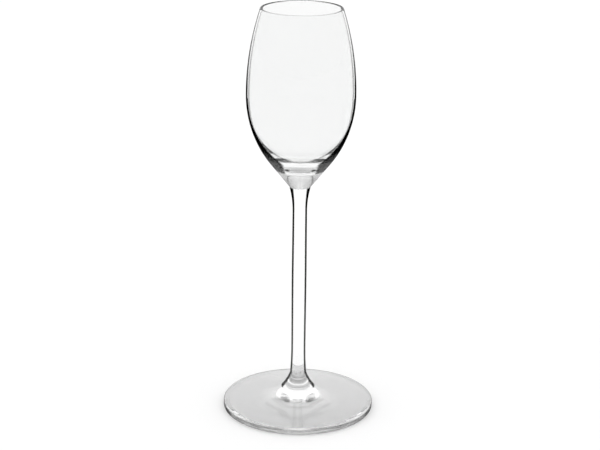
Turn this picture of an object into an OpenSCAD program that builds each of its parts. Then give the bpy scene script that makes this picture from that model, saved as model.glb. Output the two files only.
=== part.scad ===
// Stemmed sherry glass: a blown tulip bowl, a drawn stem and a pressed foot, fused end to end.
// Millimetres, +Z up, with the origin at the middle of the ring that the foot stands on.

/* [Bowl] */
// Height of the bowl, from its seam with the stem to the top of the rim
bowl_h = 88.7; // [80:0.1:110]
// Outside radius of the mouth, at the rim
rim_r = 20; // [16:0.1:23]
// Outside radius of the belly, the widest place
belly_r = 26.7; // [25:0.1:31]
// Height of the belly above the seam with the stem
belly_up = 46.2; // [40:0.1:54]
// Angle of the solid cone under the bowl, from the axis
cone_angle = 38.4; // [34:0.1:44]
// Thickness of the wall, from the rim to the belly
wall = 0.95; // [0.7:0.05:1.5]
// Radius of the curve in the hollow's side, below the belly, as a share of the radius outside it
side_share = 1.02; // [1:0.005:1.04]
// Angle from upright at which the hollow's side runs into a tighter bend
side_angle = 15; // [12:0.5:18]
// Radius of that bend
turn_bend = 33.6; // [31:0.1:37]
// Angle from upright at which the bend runs into the round floor
floor_angle = 53.5; // [45:0.5:60]

/* [Stem] */
// Length of the stem, from seam to seam
stem_len = 98.6; // [70:0.1:130]
// Radius of the shank where it meets its flared ends
shank_r = 3.58; // [3:0.02:5]
// Radius of the slight swell in the middle of the shank
swell_r = 3.7; // [3:0.02:6]
// Radius of the head, where the bowl is fused on
head_r = 5.25; // [5.05:0.05:8]
// Length of the flare under the bowl
head_len = 12.6; // [8:0.1:20]
// Radius of the tail, where the foot is fused on
tail_r = 4.08; // [4:0.02:7]
// Length of the flare above the foot
tail_len = 13.5; // [8:0.1:20]

/* [Foot] */
// Height of the foot, from the table to its seam with the stem
foot_h = 17.7; // [14:0.1:24]
// Radius of the foot
foot_r = 37.85; // [32:0.05:45]
// Thickness of the foot at its edge
edge_t = 3.6; // [2.2:0.1:5]
// Rounding of the foot's two edges
edge_round = 0.9; // [0.4:0.05:1]
// Radius of the boss at its base
boss_r = 8.45; // [7.5:0.05:12]
// Height of the base of the boss above the table
boss_up = 10.2; // [7:0.1:12]
// Radius of the hollow curve in the side of the boss
boss_bend = 25; // [14:0.5:40]
// Width of the ring that the foot stands on
ring_w = 3; // [1.5:0.1:6]
// Depth of the hollow under the foot
dish_d = 3.2; // [1:0.1:5]

/* [Hidden] */
$fn = 360;
clear_glass = [0.90, 0.93, 0.94, 0.35];
// How far a cut runs past what it cuts
overrun = 1;
// Angle of a square corner
right_angle = 90;

// Heights of the two seams, the belly and the rim's centre
foot_seam_z = foot_h;
bowl_seam_z = foot_seam_z + stem_len;
belly_z = bowl_seam_z + belly_up;
rim_z = bowl_seam_z + bowl_h - wall / 2;

// Upper wall: an arc through the middle of the wall, upright at the belly, ending at the rim's centre
tulip_bend = bend_of(rim_z - belly_z, belly_r - rim_r);
tulip_centre = [belly_r - wall / 2 - tulip_bend, belly_z];
rim_angle = asin((rim_z - belly_z) / tulip_bend);
rim_centre = tulip_centre + along(tulip_bend, rim_angle);

// Cup: an arc that is upright at the belly and meets the cone tangentially
cup_tangent = belly_up - (belly_r - head_r) / tan(cone_angle);
cup_bend = cup_tangent / tan(cone_angle / 2);
cup_centre = [belly_r - cup_bend, belly_z];
cone_top = cup_centre + along(cup_bend, -cone_angle);

// Hollow: a side arc that is upright at the belly, a tighter bend, then a floor arc that is level on the axis
side_bend = side_share * cup_bend;
side_centre = [belly_r - wall - side_bend, belly_z];
side_end = side_centre + along(side_bend, -side_angle);
turn_centre = side_end - along(turn_bend, -side_angle);
turn_end = turn_centre + along(turn_bend, -floor_angle);
floor_bend = turn_end.x / cos(floor_angle);
floor_centre = [0, turn_end.y + floor_bend * sin(floor_angle)];

// Stem: arcs that run from the upright shank out to the head and the tail
head_z = bowl_seam_z - head_len;
head_bend = bend_of(head_len, head_r - shank_r);
tail_z = foot_seam_z + tail_len;
tail_bend = bend_of(tail_len, tail_r - shank_r);

// Boss: the centre of an arc through the seam's edge and the edge of the boss's base
boss_seam = [tail_r, foot_seam_z];
boss_base = [boss_r, boss_up];
boss_chord = norm(boss_base - boss_seam);
boss_out = [boss_seam.y - boss_base.y, boss_base.x - boss_seam.x] / boss_chord;
boss_centre = (boss_seam + boss_base) / 2 + boss_out * sqrt(boss_bend ^ 2 - (boss_chord / 2) ^ 2);

// Edge of the foot: two rounded corners, the upper one tangent to the sloping top
low_corner = [foot_r - edge_round, edge_round];
high_corner = [foot_r - edge_round, edge_t - edge_round];
slope_run = boss_base - high_corner;
slope_angle = atan2(slope_run.y, slope_run.x) - acos(edge_round / norm(slope_run));
slope_end = high_corner + along(edge_round, slope_angle);

// Underside: a shallow round dish inside the ring
dish_r = foot_r - edge_round - ring_w;
dish_bend = bend_of(dish_r, dish_d);

// Step of a given length at an angle from the outward direction.
function along(length, angle) = length * [cos(angle), sin(angle)];

// Radius of the arc that starts straight along a run and leaves it by a rise at the end.
function bend_of(run, rise) = (run ^ 2 + rise ^ 2) / (2 * rise);

// Half section from the axis out to an arc that bows outward.
module bowed_out(low, high, centre, bend) {
    intersection() {
        translate(centre) circle(bend);
        translate([0, low]) square([centre.x + bend, high - low]);
    }
}

// Half section from the axis out to an arc that bows inward.
module bowed_in(low, high, centre, bend) {
    difference() {
        translate([0, low]) square([centre.x, high - low]);
        translate(centre) circle(bend);
    }
}

// Slice of a disc between two angles, up to a right angle apart.
module slice(centre, radius, from, to) {
    translate(centre) intersection() {
        circle(radius);
        polygon([[0, 0], along(2 * radius, from), along(2 * radius, to)]);
    }
}

// Half section of the wall above the belly, with its full round rim.
module upper_wall() {
    difference() {
        slice(tulip_centre, tulip_bend + wall / 2, 0, rim_angle);
        translate(tulip_centre) circle(tulip_bend - wall / 2);
    }
    for (quarter = [0, 1])
        slice(rim_centre, wall / 2, rim_angle + quarter * right_angle, rim_angle + (quarter + 1) * right_angle);
}

// Half section of the cup and the solid cone, before the hollow is taken out.
module lower_body() {
    bowed_out(cone_top.y, belly_z, cup_centre, cup_bend);
    polygon([[0, bowl_seam_z], [head_r, bowl_seam_z], cone_top, [0, cone_top.y]]);
}

// Half section of the hollow below the belly; each tighter disc runs up inside the wider one, so they overlap.
module lower_hollow() {
    bowed_out(side_end.y, belly_z + overrun, side_centre, side_bend);
    bowed_out(turn_end.y, belly_z, turn_centre, turn_bend);
    bowed_out(floor_centre.y - floor_bend, belly_z, floor_centre, floor_bend);
}

// Half section of the foot, before the underside is dished.
module foot_body() {
    bowed_in(boss_up, foot_seam_z, boss_centre, boss_bend);
    polygon([
        [0, 0], [low_corner.x, 0], low_corner, [foot_r, low_corner.y], [foot_r, high_corner.y],
        high_corner, slope_end, boss_base, [0, boss_up],
    ]);
    slice(low_corner, edge_round, -right_angle, 0);
    slice(high_corner, edge_round, 0, slope_angle);
}

module bowl() {
    color(clear_glass) rotate_extrude() {
        upper_wall();
        difference() {
            lower_body();
            lower_hollow();
        }
    }
}

module stem() {
    color(clear_glass) rotate_extrude() {
        bowed_in(foot_seam_z, tail_z, [shank_r + tail_bend, tail_z], tail_bend);
        polygon([[0, tail_z], [shank_r, tail_z], [swell_r, (tail_z + head_z) / 2], [shank_r, head_z], [0, head_z]]);
        bowed_in(head_z, bowl_seam_z, [shank_r + head_bend, head_z], head_bend);
    }
}

module foot() {
    color(clear_glass) rotate_extrude() difference() {
        foot_body();
        translate([0, dish_d - dish_bend]) circle(dish_bend);
    }
}

bowl();
stem();
foot();
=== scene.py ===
"""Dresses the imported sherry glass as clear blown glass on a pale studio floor.

The glass is three gathers fused end to end: a tulip bowl, a drawn stem and a pressed foot. Each gather is
a surface of revolution worked out from a few sizes in metres. Its profile is a chain of straight runs and
arcs in the half plane (radius, height), carried once round the axis on a fine grid, so that light bends
through smooth walls. The two seams are fused, so the faces that meet there let light straight through.
"""

from __future__ import annotations

import logging
import math
from dataclasses import dataclass, replace
from enum import Enum

import bpy
import numpy as np
from mathutils import Matrix, Vector

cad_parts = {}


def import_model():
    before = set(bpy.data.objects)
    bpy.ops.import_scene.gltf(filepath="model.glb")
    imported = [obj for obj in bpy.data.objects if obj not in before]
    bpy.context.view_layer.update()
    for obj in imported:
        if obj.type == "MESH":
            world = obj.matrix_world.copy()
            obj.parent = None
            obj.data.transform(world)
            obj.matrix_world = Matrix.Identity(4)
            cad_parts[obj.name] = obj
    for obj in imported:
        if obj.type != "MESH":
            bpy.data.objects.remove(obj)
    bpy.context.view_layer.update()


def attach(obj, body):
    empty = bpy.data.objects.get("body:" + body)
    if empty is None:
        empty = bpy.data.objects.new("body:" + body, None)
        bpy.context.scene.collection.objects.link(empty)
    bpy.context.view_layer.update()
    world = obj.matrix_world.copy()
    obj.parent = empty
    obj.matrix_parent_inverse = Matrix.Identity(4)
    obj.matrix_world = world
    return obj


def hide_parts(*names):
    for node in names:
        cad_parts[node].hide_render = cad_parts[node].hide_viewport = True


LOG = logging.getLogger("sherry_glass")
BODY = "root"

FULL_TURN = 360.0
HALF_TURN = 180.0
QUARTER_TURN = 90.0
SHARP_ANGLE = 24.0  # degrees between two faces, past which the edge between them is shaded as a corner

Point = tuple[float, float]
Colour = tuple[float, float, float, float]

WHITE: Colour = (1.0, 1.0, 1.0, 1.0)


class Skin(Enum):
    """Kinds of surface on a gather; the value ends the name of the material that is worn there."""

    # Each kind of glass below wears painted dark shade at grazing angles; the fused seam has none.
    POLISHED = "polished_glass_painted_shade"
    CUP = "cup_glass_painted_shade"
    THICK = "thick_glass_painted_shade"
    TOOLED = "tooled_glass_painted_shade"
    RIM = "rim_glass_painted_shade"
    SEAM = "fused_seam"


@dataclass(frozen=True)
class Run:
    """One stretch of a profile: points in the half plane (radius, height) and the kind of surface there."""

    points: np.ndarray
    skin: Skin = Skin.POLISHED


def on_circle(centre: Point, radius: float, degrees: float) -> Point:
    """Point on a circle: the centre plus radius times (cosine, sine) of the angle.

    Args:
        centre: Circle's centre, as (radius, height).
        radius: Circle's radius in metres.
        degrees: Angle from the outward direction, anticlockwise.

    Returns:
        The point, as (radius, height).
    """
    angle = math.radians(degrees)
    return centre[0] + radius * math.cos(angle), centre[1] + radius * math.sin(angle)


def bend_of(run: float, rise: float) -> float:
    """Radius of an arc that starts along a run and leaves it by a rise: (run² + rise²) / (2 rise).

    Args:
        run: Length along the arc's starting direction.
        rise: Distance from that direction at the arc's end.

    Returns:
        The arc's radius in metres.
    """
    return (run**2 + rise**2) / (2 * rise)


def arc(
    centre: Point,
    radius: float,
    start: float,
    stop: float,
    steps: int,
    skin: Skin = Skin.POLISHED,
) -> Run:
    """Round stretch of profile: centre + radius (cos t, sin t), with t even from start to stop.

    Args:
        centre: Circle's centre, as (radius, height).
        radius: Circle's radius in metres.
        start: First angle in degrees.
        stop: Last angle in degrees.
        steps: Number of steps along the arc.
        skin: Kind of surface on the stretch.

    Returns:
        The stretch, with steps + 1 points.
    """
    t = np.radians(np.linspace(start, stop, steps + 1))
    return Run(np.asarray(centre) + radius * np.stack([np.cos(t), np.sin(t)], axis=1), skin)


def straight(start: Point, stop: Point, steps: int, skin: Skin = Skin.POLISHED) -> Run:
    """Straight stretch of profile: start + t (stop - start), with t even from 0 to 1.

    Args:
        start: First point, as (radius, height).
        stop: Last point, as (radius, height).
        steps: Number of steps along the stretch.
        skin: Kind of surface on the stretch.

    Returns:
        The stretch, with steps + 1 points.
    """
    t = np.linspace(0.0, 1.0, steps + 1)[:, None]
    return Run(np.asarray(start) * (1 - t) + np.asarray(stop) * t, skin)


def skins_of(runs: list[Run]) -> list[Skin]:
    """Skins that a profile wears, in the order in which they first come along it.

    Args:
        runs: Stretches of profile.

    Returns:
        Each skin once; a skin's place in the list is its material slot.
    """
    return list(dict.fromkeys(run.skin for run in runs))


def revolve(name: str, runs: list[Run], around: int) -> bpy.types.Object:
    """Turns a chain of runs round the axis into a closed mesh object.

    The surface is (r(u) cos v, r(u) sin v, z(u)): u counts along the profile, whose first and last points
    lie on the axis, and v goes evenly round it. The rings between the two poles are quads, the poles are
    fans.

    Args:
        name: Name of the piece.
        runs: Stretches of profile, end to end, with the outside on the right of the way they run.
        around: Number of steps round the axis.

    Returns:
        The new object, at the origin, with its place in its mesh.
    """
    profile = np.concatenate([runs[0].points] + [run.points[1:] for run in runs[1:]])
    worn = skins_of(runs)
    skins = np.concatenate([np.full(len(run.points) - 1, worn.index(run.skin)) for run in runs])
    rings = profile[1:-1]
    v = np.linspace(0.0, 2 * np.pi, around, endpoint=False)
    grid = np.empty((len(rings), around, 3))
    grid[..., 0] = rings[:, :1] * np.cos(v)
    grid[..., 1] = rings[:, :1] * np.sin(v)
    grid[..., 2] = rings[:, 1:]
    poles = np.array([[0.0, 0.0, profile[0, 1]], [0.0, 0.0, profile[-1, 1]]])
    places = np.concatenate([grid.reshape(-1, 3), poles])

    here = np.arange(around)
    ahead = np.roll(here, -1)
    low = np.arange(len(rings) - 1)[:, None] * around
    quads = np.stack([low + here, low + ahead, low + around + ahead, low + around + here], axis=-1)
    top = (len(rings) - 1) * around
    first = len(rings) * around
    last = first + 1
    fans = np.concatenate(
        [
            np.stack([np.full(around, first), ahead, here], axis=-1),
            np.stack([np.full(around, last), top + here, top + ahead], axis=-1),
        ]
    )
    corners = np.concatenate([quads.reshape(-1), fans.reshape(-1)])
    sizes = np.concatenate([np.full(quads.size // 4, 4), np.full(len(fans), 3)])
    slots = np.concatenate([np.repeat(skins[1:-1], around), np.repeat(skins[[0, -1]], around)])

    mesh = bpy.data.meshes.new(name)
    mesh.vertices.add(len(places))
    mesh.vertices.foreach_set("co", places.reshape(-1).astype(np.float32))
    mesh.loops.add(len(corners))
    mesh.loops.foreach_set("vertex_index", corners.astype(np.int32))
    mesh.polygons.add(len(sizes))
    starts = np.cumsum(sizes) - sizes
    mesh.polygons.foreach_set("loop_start", starts.astype(np.int32))
    mesh.polygons.foreach_set("material_index", slots.astype(np.int32))
    mesh.update(calc_edges=True)
    mesh.validate()
    mesh.shade_smooth()
    mesh.set_sharp_from_angle(angle=math.radians(SHARP_ANGLE))
    piece = bpy.data.objects.new(name, mesh)
    bpy.context.scene.collection.objects.link(piece)
    return piece


@dataclass(frozen=True)
class PaintedEdgeShade:
    """Painted shade: how dark the glass is painted, at one height, where it is met at a grazing angle.

    The painted shade stands for the dark surroundings that thick and curved glass bends into view, which
    plain soft light doesn't have.

    Attributes:
        height: Height above the table in metres.
        reach: Cosine of the angle to the surface's normal at which the painted shade is halfway.
        share: Share of light that passes where the painted shade is full.
    """

    height: float
    reach: float
    share: float


@dataclass(frozen=True)
class ClearGlassAndPaintedShade:
    """Finish of one gather: clear, colourless soda-lime glass with the faint waves of hot working, and
    painted dark shade where the glass is met at a grazing angle.

    Attributes:
        painted_shades: Painted shade at a grazing angle, two or more, from the lowest height to the highest.
        blur: Width of the painted fade, as a cosine.
        inside: Share of the painted fade that light takes where it is already inside the glass.
        top: Height in metres that the heights are measured against, above all of them.
        ior: Index of refraction.
        tint: Share of each colour that passes face on, where light comes into the glass.
        wave_height: Height of the waves in metres.
        wave_sizes: Size of the waves along X, Y and Z in metres.
    """

    painted_shades: tuple[PaintedEdgeShade, ...]
    blur: float = 0.08
    inside: float = 0.0
    top: float = 0.21
    ior: float = 1.52
    tint: Colour = (0.997, 0.998, 0.998, 1.0)
    wave_height: float = 4e-6
    wave_sizes: tuple[float, float, float] = (0.012, 0.012, 0.03)

    def waves(self, tree: bpy.types.NodeTree, place: bpy.types.NodeSocket) -> bpy.types.NodeSocket:
        """Adds the waves of hot working, as a bump that follows the object's own coordinates.

        Args:
            tree: Node tree of the material.
            place: Socket that gives the place on the object.

        Returns:
            The socket that gives the bumped normal.
        """
        stretch = tree.nodes.new("ShaderNodeMapping")
        stretch.inputs["Scale"].default_value = tuple(1 / size for size in self.wave_sizes)
        noise = tree.nodes.new("ShaderNodeTexNoise")
        noise.inputs["Scale"].default_value = 1.0
        noise.inputs["Detail"].default_value = 1.0
        bump = tree.nodes.new("ShaderNodeBump")
        bump.inputs["Strength"].default_value = 1.0
        bump.inputs["Distance"].default_value = self.wave_height
        tree.links.new(place, stretch.inputs["Vector"])
        tree.links.new(stretch.outputs["Vector"], noise.inputs["Vector"])
        tree.links.new(noise.outputs["Fac"], bump.inputs["Height"])
        return bump.outputs["Normal"]

    def ramp(self, tree: bpy.types.NodeTree, place: bpy.types.NodeSocket) -> bpy.types.Node:
        """Adds a ramp up the glass that runs smoothly from each painted shade to the next.

        Args:
            tree: Node tree of the material.
            place: Socket that gives the place on the object.

        Returns:
            A node whose red output is the reach and whose green output is the share.
        """
        split = tree.nodes.new("ShaderNodeSeparateXYZ")
        level = tree.nodes.new("ShaderNodeMath")
        level.operation = "DIVIDE"
        level.inputs[1].default_value = self.top
        ramp = tree.nodes.new("ShaderNodeValToRGB")
        stops = ramp.color_ramp.elements
        for _ in self.painted_shades[2:]:
            stops.new(0.5)
        for stop, graze in zip(stops, self.painted_shades):
            stop.position = graze.height / self.top
            stop.color = (graze.reach, graze.share, 0.0, 1.0)
        parts = tree.nodes.new("ShaderNodeSeparateColor")
        tree.links.new(place, split.inputs["Vector"])
        tree.links.new(split.outputs["Z"], level.inputs[0])
        tree.links.new(level.outputs["Value"], ramp.inputs["Fac"])
        tree.links.new(ramp.outputs["Color"], parts.inputs["Color"])
        return parts

    def colour(self, tree: bpy.types.NodeTree, place: bpy.types.NodeSocket) -> bpy.types.NodeSocket:
        """Adds the colour: the tint face on, fading to a painted dark shade at a grazing angle.

        The facing weight, at a blend of one half, is 1 minus the cosine of the angle to the normal, so
        weight plus reach passes 1 where the painted fade is halfway. The painted fade is a smooth step of
        that sum, blur wide. Where light is already inside the glass the tint gives way to white, and only
        the inside share of the painted fade is left.

        Args:
            tree: Node tree of the material.
            place: Socket that gives the place on the object.

        Returns:
            The socket that gives the colour.
        """
        parts = self.ramp(tree, place)
        # Painted shade: the glass's colour is darkened by the facing weight where it is met at a grazing
        # angle.
        facing = tree.nodes.new("ShaderNodeLayerWeight")
        facing.inputs["Blend"].default_value = 0.5
        graze = tree.nodes.new("ShaderNodeMath")
        graze.operation = "ADD"
        fade = tree.nodes.new("ShaderNodeMapRange")
        fade.interpolation_type = "SMOOTHSTEP"
        fade.inputs["From Min"].default_value = 1 - self.blur / 2
        fade.inputs["From Max"].default_value = 1 + self.blur / 2
        within = tree.nodes.new("ShaderNodeNewGeometry").outputs["Backfacing"]
        part = tree.nodes.new("ShaderNodeMapRange")
        part.inputs["To Min"].default_value = 1.0
        part.inputs["To Max"].default_value = self.inside
        depth = tree.nodes.new("ShaderNodeMath")
        depth.operation = "MULTIPLY"
        shade = tree.nodes.new("ShaderNodeCombineColor")
        face = tree.nodes.new("ShaderNodeMixRGB")
        face.inputs["Color1"].default_value = self.tint
        face.inputs["Color2"].default_value = WHITE
        mix = tree.nodes.new("ShaderNodeMixRGB")
        tree.links.new(facing.outputs["Facing"], graze.inputs[0])
        tree.links.new(parts.outputs["Red"], graze.inputs[1])
        tree.links.new(graze.outputs["Value"], fade.inputs["Value"])
        for channel in ("Red", "Green", "Blue"):
            tree.links.new(parts.outputs["Green"], shade.inputs[channel])
        tree.links.new(within, part.inputs["Value"])
        tree.links.new(within, face.inputs["Fac"])
        tree.links.new(fade.outputs["Result"], depth.inputs[0])
        tree.links.new(part.outputs["Result"], depth.inputs[1])
        tree.links.new(depth.outputs["Value"], mix.inputs["Fac"])
        tree.links.new(face.outputs["Color"], mix.inputs["Color1"])
        tree.links.new(shade.outputs["Color"], mix.inputs["Color2"])
        return mix.outputs["Color"]

    def material(self, name: str) -> bpy.types.Material:
        """Makes the glass, with its painted shade at grazing angles, as a node material.

        Args:
            name: Name of the material.

        Returns:
            The new material.
        """
        made = bpy.data.materials.new(name)
        made.use_nodes = True
        tree = made.node_tree
        tree.nodes.remove(tree.nodes["Principled BSDF"])
        glass = tree.nodes.new("ShaderNodeBsdfGlass")
        glass.inputs["Roughness"].default_value = 0.0
        glass.inputs["IOR"].default_value = self.ior
        place = tree.nodes.new("ShaderNodeTexCoord").outputs["Object"]
        tree.links.new(self.waves(tree, place), glass.inputs["Normal"])
        tree.links.new(self.colour(tree, place), glass.inputs["Color"])
        tree.links.new(glass.outputs["BSDF"], tree.nodes["Material Output"].inputs["Surface"])
        return made


@dataclass(frozen=True)
class FusedSeam:
    """Finish of the faces where two gathers are fused: no surface is left, so light goes straight on."""

    def material(self, name: str) -> bpy.types.Material:
        """Makes the seam as a plain see-through material.

        Args:
            name: Name of the material.

        Returns:
            The new material.
        """
        made = bpy.data.materials.new(name)
        made.use_nodes = True
        nodes, links = made.node_tree.nodes, made.node_tree.links
        nodes.remove(nodes["Principled BSDF"])
        clear = nodes.new("ShaderNodeBsdfTransparent")
        links.new(clear.outputs["BSDF"], nodes["Material Output"].inputs["Surface"])
        return made


# Painted shade: the bowl's glass is tinted grey, so that the whole bowl looks darker than clear glass.
BOWL_PAINTED_GREY_TINT: Colour = (0.939, 0.942, 0.941, 1.0)
# Painted shade: each finish below paints the glass dark where it is met at a grazing angle, with its reach
# and depth set for each height; the tooled cone and the rim are painted a lighter grey.
BLOWN = ClearGlassAndPaintedShade(
    painted_shades=(
        PaintedEdgeShade(height=0.150, reach=0.24, share=0.0),
        PaintedEdgeShade(height=0.168, reach=0.24, share=0.0),
        PaintedEdgeShade(height=0.198, reach=0.19, share=0.25),
    ),
    blur=0.05,
    tint=BOWL_PAINTED_GREY_TINT,
)
THICK = ClearGlassAndPaintedShade(
    painted_shades=(
        PaintedEdgeShade(height=0.1255, reach=0.44, share=0.2),
        PaintedEdgeShade(height=0.1285, reach=0.46, share=0.15),
        PaintedEdgeShade(height=0.1315, reach=0.53, share=0.09),
        PaintedEdgeShade(height=0.136, reach=0.47, share=0.01),
        PaintedEdgeShade(height=0.142, reach=0.36, share=0.0),
        PaintedEdgeShade(height=0.152, reach=0.27, share=0.0),
    ),
    blur=0.05,
    inside=1.0,
    tint=BOWL_PAINTED_GREY_TINT,
)
CUP = replace(THICK, inside=0.0)
CONE = ClearGlassAndPaintedShade(
    painted_shades=(
        PaintedEdgeShade(height=0.116, reach=0.6, share=0.55),
        PaintedEdgeShade(height=0.126, reach=0.6, share=0.55),
    ),
    blur=0.5,
    inside=1.0,
)
RIM = ClearGlassAndPaintedShade(
    painted_shades=(
        PaintedEdgeShade(height=0.200, reach=0.9, share=0.72),
        PaintedEdgeShade(height=0.205, reach=0.9, share=0.72),
    ),
    blur=0.1,
)
DRAWN = ClearGlassAndPaintedShade(
    painted_shades=(
        PaintedEdgeShade(height=0.018, reach=0.60, share=0.1),
        PaintedEdgeShade(height=0.09, reach=0.63, share=0.0),
    ),
    blur=0.1,
)
BOSS = ClearGlassAndPaintedShade(
    painted_shades=(
        PaintedEdgeShade(height=0.0102, reach=0.5, share=0.12),
        PaintedEdgeShade(height=0.0177, reach=0.58, share=0.1),
    ),
    blur=0.1,
    inside=0.35,
)
PRESSED = ClearGlassAndPaintedShade(
    painted_shades=(
        PaintedEdgeShade(height=0.0030, reach=0.38, share=0.3),
        PaintedEdgeShade(height=0.0042, reach=0.08, share=0.3),
    ),
    inside=0.6,
)


@dataclass
class Gather:
    """One gather of glass: what the bowl, the stem and the foot have in common.

    Attributes:
        finishes: Finish of each kind of surface that it has, other than the fused seams.
        around: Number of steps round the axis.
        seam_steps: Number of steps across a seam.
    """

    finishes: dict[Skin, ClearGlassAndPaintedShade]
    around: int = 256
    seam_steps: int = 6

    @property
    def node(self) -> str:
        """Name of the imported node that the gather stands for."""
        return type(self).__name__.lower()

    def profile(self) -> list[Run]:
        """Stretches of the gather's profile, from axis to axis."""
        raise NotImplementedError

    def build(self) -> bpy.types.Object:
        """Builds the gather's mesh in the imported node's place and dresses it.

        Returns:
            The finished piece.
        """
        runs = self.profile()
        piece = revolve(f"{self.node}_glass_body", runs, self.around)
        for skin in skins_of(runs):
            finish = self.finishes.get(skin, FusedSeam())
            piece.data.materials.append(finish.material(f"{self.node}_{skin.value}"))
        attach(piece, BODY)
        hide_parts(self.node)
        f"{self.node}_glass"
        return piece


@dataclass
class Bowl(Gather):
    """Blown tulip bowl: a thin wall with a full round rim over a thick solid cone.

    Attributes:
        seam_z: Height of the seam with the stem.
        top_z: Height of the rim's top.
        belly_r: Outside radius at the belly.
        seam_r: Radius of the seam with the stem.
        rim_r: Outside radius at the rim.
        belly_up: Height of the belly above the seam.
        cone_angle: Angle of the solid cone from the axis, in degrees.
        wall: Thickness of the wall.
        side_share: Radius of the hollow's side, as a share of the cup's radius outside it.
        side_angle: Angle from upright at which the side runs into a tighter bend, in degrees.
        turn_bend: Radius of that bend.
        floor_angle: Angle from upright at which the bend runs into the round floor, in degrees.
        tooled_z: Height up to which the cone is tooled.
        thick_angle: Angle from upright at which the cup's wall runs into the thick base, in degrees.
        cone_steps: Number of steps along the tooled part of the cone, and along the rest of it.
        thick_steps: Number of steps round the outside of the thick base.
        cup_steps: Number of steps up the outside of the cup.
        wall_steps: Number of steps up each side of the wall above the belly.
        rim_steps: Number of steps over the rim.
        side_steps: Number of steps down the hollow's side.
        turn_steps: Number of steps round its tighter bend.
        floor_steps: Number of steps along its floor.
    """

    seam_z: float = 0.1163
    top_z: float = 0.205
    belly_r: float = 0.0267
    seam_r: float = 0.00525
    rim_r: float = 0.020
    belly_up: float = 0.0462
    cone_angle: float = 38.4
    wall: float = 0.00095
    side_share: float = 1.02
    side_angle: float = 15.0
    turn_bend: float = 0.0336
    floor_angle: float = 53.5
    tooled_z: float = 0.1255
    thick_angle: float = 23.0
    cone_steps: int = 15
    thick_steps: int = 24
    cup_steps: int = 36
    wall_steps: int = 44
    rim_steps: int = 16
    side_steps: int = 20
    turn_steps: int = 28
    floor_steps: int = 40

    def profile(self) -> list[Run]:
        """Seam, cone, cup, outer wall, rim, inner wall, then the hollow's side, bend and floor.

        Returns:
            The stretches, from the axis at the seam to the axis at the hollow's floor.
        """
        belly_z = self.seam_z + self.belly_up
        cone_slope = math.tan(math.radians(self.cone_angle))
        tangent = self.belly_up - (self.belly_r - self.seam_r) / cone_slope
        cup_bend = tangent / math.tan(math.radians(self.cone_angle / 2))
        cup = (self.belly_r - cup_bend, belly_z)
        cone_top = on_circle(cup, cup_bend, -self.cone_angle)
        seam_edge = (self.seam_r, self.seam_z)
        tooled = (self.seam_r + (self.tooled_z - self.seam_z) * cone_slope, self.tooled_z)

        half_wall = self.wall / 2
        rise = self.top_z - half_wall - belly_z
        tulip_bend = bend_of(rise, self.belly_r - self.rim_r)
        tulip = (self.belly_r - half_wall - tulip_bend, belly_z)
        rim_angle = math.degrees(math.asin(rise / tulip_bend))
        rim = on_circle(tulip, tulip_bend, rim_angle)

        side_bend = self.side_share * cup_bend
        side = (self.belly_r - self.wall - side_bend, belly_z)
        side_end = on_circle(side, side_bend, -self.side_angle)
        turn = on_circle(side_end, -self.turn_bend, -self.side_angle)
        turn_end = on_circle(turn, self.turn_bend, -self.floor_angle)
        floor_bend = turn_end[0] / math.cos(math.radians(self.floor_angle))
        floor = (0.0, turn_end[1] + floor_bend * math.sin(math.radians(self.floor_angle)))
        return [
            straight((0.0, self.seam_z), seam_edge, self.seam_steps, Skin.SEAM),
            straight(seam_edge, tooled, self.cone_steps, Skin.TOOLED),
            straight(tooled, cone_top, self.cone_steps, Skin.THICK),
            arc(cup, cup_bend, -self.cone_angle, -self.thick_angle, self.thick_steps, Skin.THICK),
            arc(cup, cup_bend, -self.thick_angle, 0.0, self.cup_steps, Skin.CUP),
            arc(tulip, tulip_bend + half_wall, 0.0, rim_angle, self.wall_steps),
            arc(rim, half_wall, rim_angle, rim_angle + HALF_TURN, self.rim_steps, Skin.RIM),
            arc(tulip, tulip_bend - half_wall, rim_angle, 0.0, self.wall_steps),
            arc(side, side_bend, 0.0, -self.side_angle, self.side_steps),
            arc(turn, self.turn_bend, -self.side_angle, -self.floor_angle, self.turn_steps),
            arc(floor, floor_bend, -self.floor_angle, -QUARTER_TURN, self.floor_steps),
        ]


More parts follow.
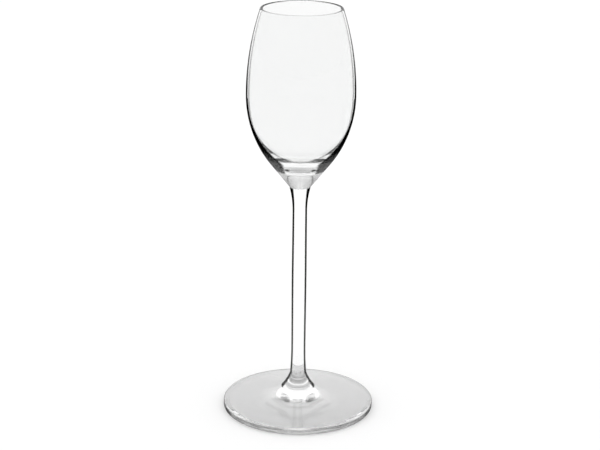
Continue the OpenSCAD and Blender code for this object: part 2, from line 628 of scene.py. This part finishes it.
@dataclass
class Stem(Gather):
    """Drawn solid stem: a flared head, a shank with a slight swell and a flared tail.

    Attributes:
        low_z: Height of the seam with the foot.
        high_z: Height of the seam with the bowl.
        shank_r: Radius where the shank meets its flares.
        swell_r: Radius in the middle of the shank.
        head_r: Radius of the seam with the bowl.
        head_len: Length of the flare under the bowl.
        tail_r: Radius of the seam with the foot.
        tail_len: Length of the flare above the foot.
        head_steps: Number of steps along the flare under the bowl.
        shank_steps: Number of steps along the shank.
        tail_steps: Number of steps along the flare above the foot.
    """

    around: int = 128
    low_z: float = 0.0177
    high_z: float = 0.1163
    shank_r: float = 0.00358
    swell_r: float = 0.0037
    head_r: float = 0.00525
    head_len: float = 0.0126
    tail_r: float = 0.00408
    tail_len: float = 0.0135
    head_steps: int = 32
    shank_steps: int = 60
    tail_steps: int = 24

    def shank(self, low: float, high: float) -> Run:
        """Shank with its swell: shank radius + swell times sin²(pi t), with t even from end to end.

        Args:
            low: Height of the shank's lower end.
            high: Height of its upper end.

        Returns:
            The stretch of profile.
        """
        t = np.linspace(0.0, 1.0, self.shank_steps + 1)
        radius = self.shank_r + (self.swell_r - self.shank_r) * np.sin(np.pi * t) ** 2
        return Run(np.stack([radius, low + (high - low) * t], axis=1))

    def profile(self) -> list[Run]:
        """Lower seam, tail, shank, head and upper seam.

        Returns:
            The stretches, from the axis at the foot to the axis at the bowl.
        """
        tail_z, head_z = self.low_z + self.tail_len, self.high_z - self.head_len
        tail_bend = bend_of(self.tail_len, self.tail_r - self.shank_r)
        head_bend = bend_of(self.head_len, self.head_r - self.shank_r)
        tail = (self.shank_r + tail_bend, tail_z)
        head = (self.shank_r + head_bend, head_z)
        tail_turn = math.degrees(math.asin(self.tail_len / tail_bend))
        head_turn = math.degrees(math.asin(self.head_len / head_bend))
        return [
            straight((0.0, self.low_z), (self.tail_r, self.low_z), self.seam_steps, Skin.SEAM),
            arc(tail, tail_bend, HALF_TURN + tail_turn, HALF_TURN, self.tail_steps),
            self.shank(tail_z, head_z),
            arc(head, head_bend, HALF_TURN, HALF_TURN - head_turn, self.head_steps),
            straight((self.head_r, self.high_z), (0.0, self.high_z), self.seam_steps, Skin.SEAM),
        ]


@dataclass
class Foot(Gather):
    """Pressed round foot: a dished underside, a standing ring, a rounded edge, a sloping top and a boss.

    Attributes:
        seam_z: Height of the seam with the stem.
        foot_r: Radius of the foot.
        seam_r: Radius of the seam with the stem.
        edge_t: Thickness at the edge.
        edge_round: Rounding of the two edges.
        boss_r: Radius of the boss at its base.
        boss_up: Height of the boss's base.
        boss_bend: Radius of the hollow curve in the boss's side.
        ring_w: Width of the standing ring.
        dish_d: Depth of the dish under the foot.
        dish_steps: Number of steps across the dish, from the axis out.
        flat_steps: Number of steps across the ring, and up the edge.
        round_steps: Number of steps round each of the two edges.
        slope_steps: Number of steps along the sloping top.
        boss_steps: Number of steps up the boss.
    """

    around: int = 288
    seam_z: float = 0.0177
    foot_r: float = 0.03785
    seam_r: float = 0.00408
    edge_t: float = 0.0036
    edge_round: float = 0.0009
    boss_r: float = 0.00845
    boss_up: float = 0.0102
    boss_bend: float = 0.025
    ring_w: float = 0.003
    dish_d: float = 0.0032
    dish_steps: int = 60
    flat_steps: int = 6
    round_steps: int = 12
    slope_steps: int = 50
    boss_steps: int = 24

    def profile(self) -> list[Run]:
        """Dish, standing ring, lower corner, edge, upper corner, slope, boss and seam.

        Returns:
            The stretches, from the axis under the foot to the axis at the seam.
        """
        low = (self.foot_r - self.edge_round, self.edge_round)
        high = (low[0], self.edge_t - self.edge_round)
        dish_r = low[0] - self.ring_w
        dish_bend = bend_of(dish_r, self.dish_d)
        dish = (0.0, self.dish_d - dish_bend)
        dish_turn = math.degrees(math.asin(dish_r / dish_bend))
        run = (self.boss_r - high[0], self.boss_up - high[1])
        lean = math.acos(self.edge_round / math.hypot(*run))
        slope = math.degrees(math.atan2(run[1], run[0]) - lean)
        slope_end = on_circle(high, self.edge_round, slope)
        chord = (self.boss_r - self.seam_r, self.seam_z - self.boss_up)
        half = math.hypot(*chord) / 2
        reach = math.sqrt(self.boss_bend**2 - half**2) / (2 * half)
        boss = (
            (self.boss_r + self.seam_r) / 2 + chord[1] * reach,
            (self.boss_up + self.seam_z) / 2 + chord[0] * reach,
        )
        base_turn = math.degrees(math.atan2(self.boss_up - boss[1], self.boss_r - boss[0])) % FULL_TURN
        seam_turn = math.degrees(math.atan2(self.seam_z - boss[1], self.seam_r - boss[0])) % FULL_TURN
        return [
            arc(dish, dish_bend, QUARTER_TURN, QUARTER_TURN - dish_turn, self.dish_steps),
            straight((dish_r, 0.0), (low[0], 0.0), self.flat_steps),
            arc(low, self.edge_round, -QUARTER_TURN, 0.0, self.round_steps),
            straight((self.foot_r, low[1]), (self.foot_r, high[1]), self.flat_steps),
            arc(high, self.edge_round, 0.0, slope, self.round_steps),
            straight(slope_end, (self.boss_r, self.boss_up), self.slope_steps),
            arc(boss, self.boss_bend, base_turn, seam_turn, self.boss_steps, Skin.TOOLED),
            straight((self.seam_r, self.seam_z), (0.0, self.seam_z), self.seam_steps, Skin.SEAM),
        ]


@dataclass
class Studio:
    """Plain pale floor and plain soft light from all round.

    Attributes:
        floor_half: Half the side of the floor in metres.
        floor_gap: Film of air between the floor and the ring that the foot stands on, in metres.
        floor_shade: Share of light that the floor gives back.
        sky: Brightness of the soft light at the level of the horizon.
        sky_rise: How much brighter the light is straight overhead.
        glass_bounces: Number of times that light may turn in the glass.
        floor_bounces: Number of times that the floor may pass light on.
        seam_crossings: Number of fused seams that light may cross.
    """

    floor_half: float = 8.0
    floor_gap: float = 0.0001
    floor_shade: float = 0.9
    sky: float = 1.02
    sky_rise: float = 0.2
    glass_bounces: int = 96
    floor_bounces: int = 4
    seam_crossings: int = 64

    def floor(self) -> bpy.types.Object:
        """Lays the floor a film of air under the ring that the foot stands on.

        Returns:
            The floor.
        """
        mesh = bpy.data.meshes.new("floor")
        edge = np.array([[-1, -1, 0], [1, -1, 0], [1, 1, 0], [-1, 1, 0]]) * self.floor_half
        edge[:, 2] = -self.floor_gap
        mesh.from_pydata(edge.tolist(), [], [[0, 1, 2, 3]])
        floor = bpy.data.objects.new("floor", mesh)
        bpy.context.scene.collection.objects.link(floor)
        made = bpy.data.materials.new("pale_floor")
        made.use_nodes = True
        paint = made.node_tree.nodes["Principled BSDF"]
        paint.inputs["Base Color"].default_value = (self.floor_shade,) * 3 + (1.0,)
        paint.inputs["Roughness"].default_value = 1.0
        paint.inputs["Specular IOR Level"].default_value = 0.0
        mesh.materials.append(made)
        return floor

    def light(self) -> None:
        """Sets the soft light: sky plus its rise times the upward part of the direction."""
        world = bpy.data.worlds.new("studio")
        world.use_nodes = True
        nodes, links = world.node_tree.nodes, world.node_tree.links
        toward = nodes.new("ShaderNodeTexCoord")
        rise = nodes.new("ShaderNodeVectorMath")
        rise.operation = "DOT_PRODUCT"
        rise.inputs[1].default_value = (0.0, 0.0, self.sky_rise)
        level = nodes.new("ShaderNodeMath")
        level.operation = "ADD"
        level.inputs[1].default_value = self.sky
        links.new(toward.outputs["Generated"], rise.inputs[0])
        links.new(rise.outputs["Value"], level.inputs[0])
        links.new(level.outputs["Value"], nodes["Background"].inputs["Strength"])
        nodes["Background"].inputs["Color"].default_value = WHITE
        bpy.context.scene.world = world

    def build(self) -> None:
        """Lays the floor, sets the light, and how light is traced and shown."""
        self.floor()
        self.light()
        scene = bpy.context.scene
        scene.view_settings.view_transform = "Standard"
        scene.cycles.max_bounces = self.glass_bounces
        scene.cycles.transmission_bounces = self.glass_bounces
        scene.cycles.glossy_bounces = self.glass_bounces
        scene.cycles.diffuse_bounces = self.floor_bounces
        scene.cycles.transparent_max_bounces = self.seam_crossings
        scene.cycles.caustics_refractive = True
        scene.cycles.caustics_reflective = True
        scene.cycles.use_denoising = True


@dataclass(frozen=True)
class PhotoCamera:
    """Camera at the photograph's viewing angle.

    Attributes:
        focal_px: Focal length in pixels of the photograph.
        width_px: Width of the photograph in pixels.
        sensor: Width of the sensor in millimetres.
        away: Distance from the axis in metres.
        high: Height above the floor in metres.
        pitch: Angle looking down, in degrees.
        roll: Angle that the picture leans by, in degrees.
        yaw: Angle turned to the right, in degrees.
        sight: Distance in metres past which nothing is shown.
    """

    focal_px: float = 1696.7
    width_px: float = 600.0
    sensor: float = 36.0
    away: float = 0.7985
    high: float = 0.3577
    pitch: float = 18.125
    roll: float = 0.624
    yaw: float = 0.012
    sight: float = 100.0

    def build(self) -> bpy.types.Object:
        """Makes the camera and hands it to the scene.

        Returns:
            The camera.
        """
        data = bpy.data.cameras.new("photo_camera")
        data.sensor_width = self.sensor
        data.lens = self.focal_px / self.width_px * self.sensor
        data.clip_end = self.sight
        camera = bpy.data.objects.new("photo_camera", data)
        bpy.context.scene.collection.objects.link(camera)
        turn = (
            Matrix.Rotation(math.radians(-self.yaw), 4, "Z")
            @ Matrix.Rotation(math.radians(QUARTER_TURN - self.pitch), 4, "X")
            @ Matrix.Rotation(math.radians(self.roll), 4, "Z")
        )
        camera.matrix_world = Matrix.Translation(Vector((0.0, -self.away, self.high))) @ turn
        bpy.context.scene.camera = camera
        return camera


def main() -> None:
    """Builds the camera, the studio and the three gathers."""
    logging.basicConfig(level=logging.INFO, format="%(name)s: %(message)s")
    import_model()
    PhotoCamera().build()
    Studio().build()
    gathers = (
        Bowl(
            {
                Skin.POLISHED: BLOWN,
                Skin.RIM: RIM,
                Skin.CUP: CUP,
                Skin.THICK: THICK,
                Skin.TOOLED: CONE,
            }
        ),
        Stem({Skin.POLISHED: DRAWN}),
        Foot({Skin.POLISHED: PRESSED, Skin.TOOLED: BOSS}),
    )
    for gather in gathers:
        piece = gather.build()
        LOG.info("%s has %d faces", piece.name, len(piece.data.polygons))


if __name__ == "__main__":
    main()
